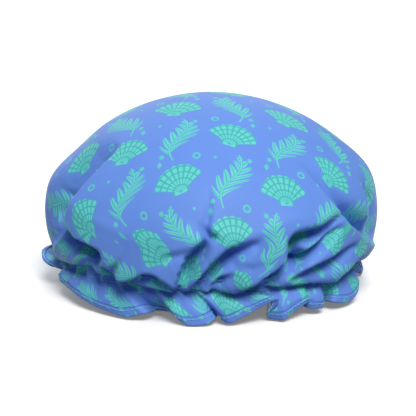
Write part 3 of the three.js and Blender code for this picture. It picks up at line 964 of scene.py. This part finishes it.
# Materials
class Number:
    """A number in a material's nodes, with plain arithmetic."""

    def __init__(self, socket):
        self.tree = socket.id_data
        self.socket = socket

    def math(self, operation, *others):
        """The result of an operation of the math node."""
        node = self.tree.nodes.new("ShaderNodeMath")
        node.operation = operation
        for slot, value in zip(node.inputs, (self, *others)):
            if isinstance(value, Number):
                self.tree.links.new(value.socket, slot)
            else:
                slot.default_value = value
        return Number(node.outputs[0])

    __add__ = __radd__ = partialmethod(math, "ADD")
    __sub__ = partialmethod(math, "SUBTRACT")
    __mul__ = __rmul__ = partialmethod(math, "MULTIPLY")
    __truediv__ = partialmethod(math, "DIVIDE")
    __lt__ = partialmethod(math, "LESS_THAN")
    __gt__ = partialmethod(math, "GREATER_THAN")
    __abs__ = partialmethod(math, "ABSOLUTE")

    def __rsub__(self, other):
        return (self * -1) + other

    def kept(self):
        """The number kept between 0 and 1."""
        return self.math("MAXIMUM", 0.0).math("MINIMUM", 1.0)


def either(a, b):
    """The larger of two numbers."""
    return a.math("MAXIMUM", b)


def away(x, y):
    """Distance from the origin."""
    return (x * x + y * y).math("SQRT")


def turned(x, y, angle):
    """Coordinates turned by an angle."""
    c, s = math.cos(angle), math.sin(angle)
    return x * c + y * s, y * c - x * s


def new_material(name):
    """An empty material with its shader."""
    material = bpy.data.materials.new(name)
    material.use_nodes = True
    tree = material.node_tree
    return material, tree, tree.nodes["Principled BSDF"]


def flat_place(tree, across=0.0, down=0.0):
    """Coordinates on the flat cloth in millimetres."""
    place = tree.nodes.new("ShaderNodeAttribute")
    place.attribute_name = "flat"
    parts = tree.nodes.new("ShaderNodeSeparateXYZ")
    tree.links.new(place.outputs["Vector"], parts.inputs[0])
    x = Number(parts.outputs[0]) + across
    y = Number(parts.outputs[1]) + down
    return x, y, place.outputs["Vector"]


# Repeat of the print, and places in it, in millimetres on the flat cloth. A lean is in radians.
COLUMN_WIDTH = 39.5
REPEAT = 80.0
SPRIG_LEVEL = 16.0
SPRIG_LEAN = -0.16
FAN_LEVEL = -23.0
FAN_LEAN = 0.30
RING = (13.0, -4.0)
RING_RADIUS = 2.3
RING_HALF_WIDTH = 0.7
DOTS = [(-12.5, -1.0, 1.8), (12.5, 33.5, 1.8), (-13.0, 34.0, 1.2)]
DIAMOND = (-14.0, -8.0)
DIAMOND_HALF = (2.0, 3.0)

# Fan shell: from its middle to its hinge, radius, half of its angle in radians, and the forms of its parts
FAN_HINGE = 11.0
FAN_RADIUS = 22.5
FAN_HALF_ANGLE = 1.08
FAN_ROUNDING = 2.6
FAN_RIBS = 26.0
RIB_SWELL = 0.9
RIB_LINE = -0.55
GROWTH_RINGS = 1.25
GROWTH_LINE = 0.80
EAR_HALF_WIDTH = 6.0
EAR_HALF_HEIGHT = 2.0
EAR_LEVEL = 1.2
EAR_LINE = 4.6


def scallop(x, y):
    """A fan shell with ribs, about 34 mm wide: where it is, and its darker lines."""
    y = y + FAN_HINGE
    out = away(x, y)
    lean = x.math("ARCTAN2", y)
    ribs = (lean * FAN_RIBS).math("COSINE")
    rim = FAN_RADIUS - lean * lean * FAN_ROUNDING + abs(ribs) * RIB_SWELL
    fan = (out < rim) * (abs(lean) < FAN_HALF_ANGLE)
    ears = (abs(x) < EAR_HALF_WIDTH) * (abs(y - EAR_LEVEL) < EAR_HALF_HEIGHT)
    lines = either(ribs < RIB_LINE, (out * GROWTH_RINGS).math("SINE") > GROWTH_LINE)
    return either(fan, ears), either(lines * fan, ears * (abs(x) > EAR_LINE))


# Sprig: half of its height, how it bends, where its leaves begin and how they grow, and its stem
SPRIG_HALF = 22.0
SPRIG_BEND = 5.0
SPRIG_WAVES = 0.136
LEAVES_FROM = -17.0
LEAVES_HEIGHT = 38.0
LEAF_REACH = 11.5
LEAF_SPREAD = 0.7
LEAF_SLANT = 0.95
LEAF_PITCH = 6.6
LEAF_POINT = 0.45
LEAF_HALF = 0.45
VEIN_HALF = 0.06
STEM_HALF = 0.75
STEM_LINE = (0.6, 1.1)
VEIN_FROM = 0.7


def frond(x, y):
    """A bent sprig with pointed leaves, about 44 mm tall: where it is, and its darker lines."""
    x = x - (y * SPRIG_WAVES).math("SINE") * SPRIG_BEND
    side = abs(x)
    rise = ((y - LEAVES_FROM) / LEAVES_HEIGHT).kept()
    reach = (rise * np.pi).math("SINE").math("POWER", LEAF_SPREAD) * LEAF_REACH + 0.01
    step = (y - side * LEAF_SLANT) / LEAF_PITCH + (x > 0) * 0.5
    off = abs(step.math("FRACT") - 0.5)
    room = (1 - side / reach).math("MAXIMUM", 0.0).math("POWER", LEAF_POINT)
    leaves = (off < room * LEAF_HALF) * (side < reach)
    stem = (side < STEM_HALF) * (abs(y) < SPRIG_HALF)
    veins = (off < VEIN_HALF) * (side > VEIN_FROM)
    lines = either(veins, (side > STEM_LINE[0]) * (side < STEM_LINE[1]))
    shape = either(leaves, stem)
    return shape, lines * shape


def print_masks(x, y):
    """The repeat of the print: motifs, their darker lines, and the small spots between them."""
    column = (x / COLUMN_WIDTH).math("FLOOR")
    odd = abs(column.math("MODULO", 2.0))
    inside = x - (column + 0.5) * COLUMN_WIDTH
    drop = y + odd * (REPEAT / 2)
    row = (drop / REPEAT).math("FLOOR")
    level = drop - (row + 0.5) * REPEAT
    flip = 1 - abs((row + column).math("MODULO", 2.0)) * 2
    mirrored = inside * flip
    sprig, sprig_lines = frond(*turned(mirrored, level - SPRIG_LEVEL, SPRIG_LEAN))
    fan, fan_lines = scallop(*turned(mirrored, level - FAN_LEVEL, FAN_LEAN))
    spots = abs(away(mirrored - RING[0], level - RING[1]) - RING_RADIUS) < RING_HALF_WIDTH
    for across, up, size in DOTS:
        spots = either(spots, away(mirrored - across, level - up) < size)
    beside = abs(mirrored - DIAMOND[0]) / DIAMOND_HALF[0]
    above = abs(level - DIAMOND[1]) / DIAMOND_HALF[1]
    return either(sprig, fan), either(sprig_lines, fan_lines), either(spots, beside + above < 1.0)


def linear(red, green, blue):
    """A colour given as on screen, 0 to 255, in the renderer's linear values."""
    parts = []
    for value in (red, green, blue):
        share = value / 255
        parts.append(share / 12.92 if share <= 0.04045 else ((share + 0.055) / 1.055) ** 2.4)
    return (*parts, 1.0)


GROUND = linear(106, 146, 226)
GROUND_DARK = linear(99, 140, 220)
TEAL_LIGHT = linear(112, 212, 206)
TEAL = linear(92, 198, 196)
TEAL_DARK = linear(48, 164, 168)
SHEEN = linear(190, 210, 255)
# Painted shade for the crease along the binding's upper edge
CREASE_SHADE = linear(48, 88, 168)
LINING = linear(232, 232, 240)
LINING_DARK = linear(218, 219, 230)
# Elastic, and a darker copy of it as painted shade in the grooves between its ribs
ELASTIC = linear(244, 243, 238)
ELASTIC_GROOVE_SHADE = linear(214, 214, 208)
# Threads, each in a darker and a lighter tone: the darker is painted shade in the grooves of the twist
TEAL_THREADS = linear(112, 190, 212), linear(158, 216, 228)
WHITE_THREADS = linear(214, 216, 224), linear(244, 245, 250)


def mix(factor, first, second):
    """Two colours mixed by a number."""
    node = factor.tree.nodes.new("ShaderNodeMix")
    node.data_type = "RGBA"
    factor.tree.links.new(factor.socket, node.inputs[0])
    for slot, value in ((node.inputs[6], first), (node.inputs[7], second)):
        if isinstance(value, bpy.types.NodeSocket):
            factor.tree.links.new(value, slot)
        else:
            slot.default_value = value
    return node.outputs[2]


def set_inputs(node, values):
    """Sets inputs of a node by their names."""
    for name, value in values.items():
        node.inputs[name].default_value = value


def noise(place, scale, detail=3.0):
    """Soft uneven numbers over the cloth."""
    tree = place.id_data
    node = tree.nodes.new("ShaderNodeTexNoise")
    set_inputs(node, {"Scale": scale, "Detail": detail})
    tree.links.new(place, node.inputs["Vector"])
    return Number(node.outputs["Fac"])


def weave(x, y, pitch):
    """Height of a plain weave."""
    warp = (x * (FULL_TURN / pitch)).math("SINE")
    weft = (y * (FULL_TURN / pitch)).math("SINE")
    return warp * weft


def add_bump(shader, value, strength, distance):
    """Relief from a number, its distance in millimetres."""
    node = value.tree.nodes.new("ShaderNodeBump")
    set_inputs(node, {"Strength": strength, "Distance": distance * METRE})
    value.tree.links.new(value.socket, node.inputs["Height"])
    value.tree.links.new(node.outputs["Normal"], shader.inputs["Normal"])


# Fine gathers: how many, how slowly they change up the cloth, where they begin, and their run and relief
GATHERS = 14.0
GATHERS_DRIFT = 0.02
GATHERS_FROM = 110.0
GATHERS_RUN = 90.0
GATHERS_RELIEF = 18.0
WEAVE_RELIEF = 0.5
NAP_RELIEF = 1.5
LINE_STRENGTH = 0.75
# How strongly the painted shade darkens the crease along the binding's upper edge
CREASE_SHADE_STRENGTH = 0.7


def gathers(tree):
    """Fine creases that run up the cloth from the elastic and die out on the crown."""
    x, y, _ = flat_place(tree)
    out = away(x, y)
    around = tree.nodes.new("ShaderNodeCombineXYZ")
    for slot, value in zip(around.inputs, (x / out * GATHERS, y / out * GATHERS, out * GATHERS_DRIFT)):
        tree.links.new(value.socket, slot)
    gate = ((out - GATHERS_FROM) / GATHERS_RUN).kept()
    return noise(around.outputs[0], scale=1.6, detail=2.0) * gate * gate


def printed_cloth(name, across, down, folded=0.0):
    """Satin microfibre with the teal print. A folded strip gets painted shade, a darker colour, in the crease
    along its upper edge.
    """
    material, tree, shader = new_material(name)
    x, y, place = flat_place(tree, across, down)
    motif, lines, spots = print_masks(x, y)
    ground = mix(noise(place, scale=0.05), GROUND_DARK, GROUND)
    tint = mix(noise(place, scale=0.12), TEAL, TEAL_LIGHT)
    colour = mix(motif, ground, tint)
    colour = mix(spots, colour, TEAL)
    colour = mix(lines * LINE_STRENGTH, colour, TEAL_DARK)
    # Painted shade: a darker strip along the upper edge, standing in for the shade in the crease of the fold
    if folded:
        colour = mix((y - down < folded) * CREASE_SHADE_STRENGTH, colour, CREASE_SHADE)
    tree.links.new(colour, shader.inputs["Base Color"])
    set_inputs(shader, {"Roughness": 0.5, "Specular IOR Level": 0.15})
    set_inputs(shader, {"Sheen Weight": 0.14, "Sheen Roughness": 0.5, "Sheen Tint": SHEEN})
    nap = noise(place, scale=0.35, detail=5.0)
    relief = weave(x, y, pitch=0.8) * WEAVE_RELIEF + nap * NAP_RELIEF + gathers(tree) * GATHERS_RELIEF
    add_bump(shader, relief, strength=0.25, distance=0.12)
    return material


def plain_cloth(name, dark, light, roughness, pitch):
    """Unprinted cloth with a weave."""
    material, tree, shader = new_material(name)
    x, y, place = flat_place(tree)
    tree.links.new(mix(noise(place, scale=0.08), dark, light), shader.inputs["Base Color"])
    set_inputs(shader, {"Roughness": roughness, "Sheen Weight": 0.2})
    nap = noise(place, scale=0.3, detail=4.0)
    add_bump(shader, weave(x, y, pitch) + nap * NAP_RELIEF, strength=0.3, distance=0.12)
    return material


def ridges(tree, direction, scale, distortion):
    """A number that makes even ridges across a piece."""
    node = tree.nodes.new("ShaderNodeTexWave")
    node.bands_direction = direction
    set_inputs(node, {"Scale": scale, "Distortion": distortion})
    place = tree.nodes.new("ShaderNodeTexCoord")
    tree.links.new(place.outputs["Object"], node.inputs["Vector"])
    return Number(node.outputs["Fac"])


def thread(name, dark, light):
    """Twisted sewing thread, with painted shade in the grooves of its twist."""
    material, tree, shader = new_material(name)
    twist = ridges(tree, "DIAGONAL", scale=900.0, distortion=1.5)
    # The grooves of the twist are darker: painted shade
    tree.links.new(mix(twist, dark, light), shader.inputs["Base Color"])
    set_inputs(shader, {"Roughness": 0.42, "Sheen Weight": 0.3})
    add_bump(shader, twist, strength=0.4, distance=0.06)
    return material


def ribbed_elastic(name):
    """Knitted elastic with ribs that run along it, and painted shade in the grooves between them."""
    material, tree, shader = new_material(name)
    ribs = ridges(tree, "Z", scale=420.0, distortion=0.6)
    # The grooves between the ribs are darker: painted shade
    tree.links.new(mix(ribs, ELASTIC_GROOVE_SHADE, ELASTIC), shader.inputs["Base Color"])
    set_inputs(shader, {"Roughness": 0.75})
    add_bump(shader, ribs, strength=0.6, distance=0.25)
    return material


def paint(piece, material):
    """Gives a piece its material, in place of any that it has."""
    piece.data.materials.clear()
    piece.data.materials.append(material)


teal_thread = thread("teal_thread", *TEAL_THREADS)
white_thread = thread("white_thread", *WHITE_THREADS)
paint(shell, printed_cloth("printed_cloth", across=4.0, down=6.0))
# The binding gets a strip of painted shade 0.7 mm wide along its upper edge
paint(binding, printed_cloth("binding_cloth", across=0.0, down=31.0, folded=0.7))
paint(lining_piece, plain_cloth("lining_cloth", LINING_DARK, LINING, roughness=0.45, pitch=0.9))
paint(nodes["elastic_band"], ribbed_elastic("ribbed_elastic"))
for piece in (stitch_outer, channel_upper, channel_lower):
    paint(piece, teal_thread)
for piece in (stitch_inner, nodes["elastic_tack"]):
    paint(piece, white_thread)

# What each piece stands for
PIECES = [
    (shell, "outer_shell", "printed_cloth"),
    (lining_piece, "lining", "lining_cloth"),
    (binding, "edge_binding", "binding_cloth"),
    (stitch_outer, "binding_stitch_outer", "teal_thread"),
    (stitch_inner, "binding_stitch_inner", "white_thread"),
    (channel_upper, "channel_stitch_upper", "teal_thread"),
    (channel_lower, "channel_stitch_lower", "teal_thread"),
]
for piece, node, slot in PIECES:
    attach(piece, "root")
    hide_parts(node)

# Studio: half of the floor's side in millimetres, its colour as seen and as it lights the cap, and its glow
FLOOR_HALF = 3000.0
FLOOR_SEEN = (0.95, 0.95, 0.95, 1)
FLOOR_BOUNCE = (0.15, 0.18, 0.23, 1)
FLOOR_GLOW = 0.18
floor_corners = [(x * FLOOR_HALF, y * FLOOR_HALF, 0) for x, y in ((-1, -1), (1, -1), (1, 1), (-1, 1))]
floor = add_mesh("floor", floor_corners, [(0, 1, 2, 3)])
floor_material, floor_tree, floor_shader = new_material("floor")
rays = floor_tree.nodes.new("ShaderNodeLightPath")
straight = Number(rays.outputs["Is Camera Ray"])
for kind in ("Is Glossy Ray", "Is Transmission Ray"):
    straight = either(straight, Number(rays.outputs[kind]))
floor_colour = mix(straight, FLOOR_BOUNCE, FLOOR_SEEN)
floor_tree.links.new(floor_colour, floor_shader.inputs["Base Color"])
floor_tree.links.new((straight * FLOOR_GLOW).socket, floor_shader.inputs["Emission Strength"])
set_inputs(floor_shader, {"Emission Color": (1, 1, 1, 1), "Roughness": 0.9, "Specular IOR Level": 0.1})
paint(floor, floor_material)

WORLD_COLOUR = (0.58, 0.79, 1.0, 1)
WORLD_STRENGTH = 0.26
KEY_COLOUR = (1.0, 0.96, 0.92)
world = bpy.data.worlds.new("studio")
world.use_nodes = True
set_inputs(world.node_tree.nodes["Background"], {"Color": WORLD_COLOUR, "Strength": WORLD_STRENGTH})
bpy.context.scene.world = world


def soft_sun(name, towards, strength, spread):
    """Even soft light from one direction, as from a wide soft box."""
    light = bpy.data.lights.new(name, "SUN")
    light.color = KEY_COLOUR
    light.energy = strength
    light.angle = math.radians(spread)
    lamp = add_object(name, light)
    lamp.rotation_euler = Vector(towards).to_track_quat("Z", "Y").to_euler()


soft_sun("key", towards=(0.14, -0.64, 0.76), strength=2.95, spread=28)
soft_sun("overhead", towards=(0.1, -0.1, 1.0), strength=0.4, spread=70)
soft_sun("back_fill", towards=(-0.2, 0.88, 0.4), strength=0.9, spread=60)

camera_data = bpy.data.cameras.new("camera")
camera_data.sensor_width = SENSOR
camera_data.lens = FOCAL_PIXELS * SENSOR / IMAGE_SIDE
camera = add_object("camera", camera_data)
camera.location = (AIM - DISTANCE * VIEW) * METRE
camera.rotation_euler = (math.pi / 2 - ELEVATION, 0, 0)
bpy.context.scene.camera = camera
bpy.context.scene.view_settings.view_transform = "Standard"

bpy.context.view_layer.update()
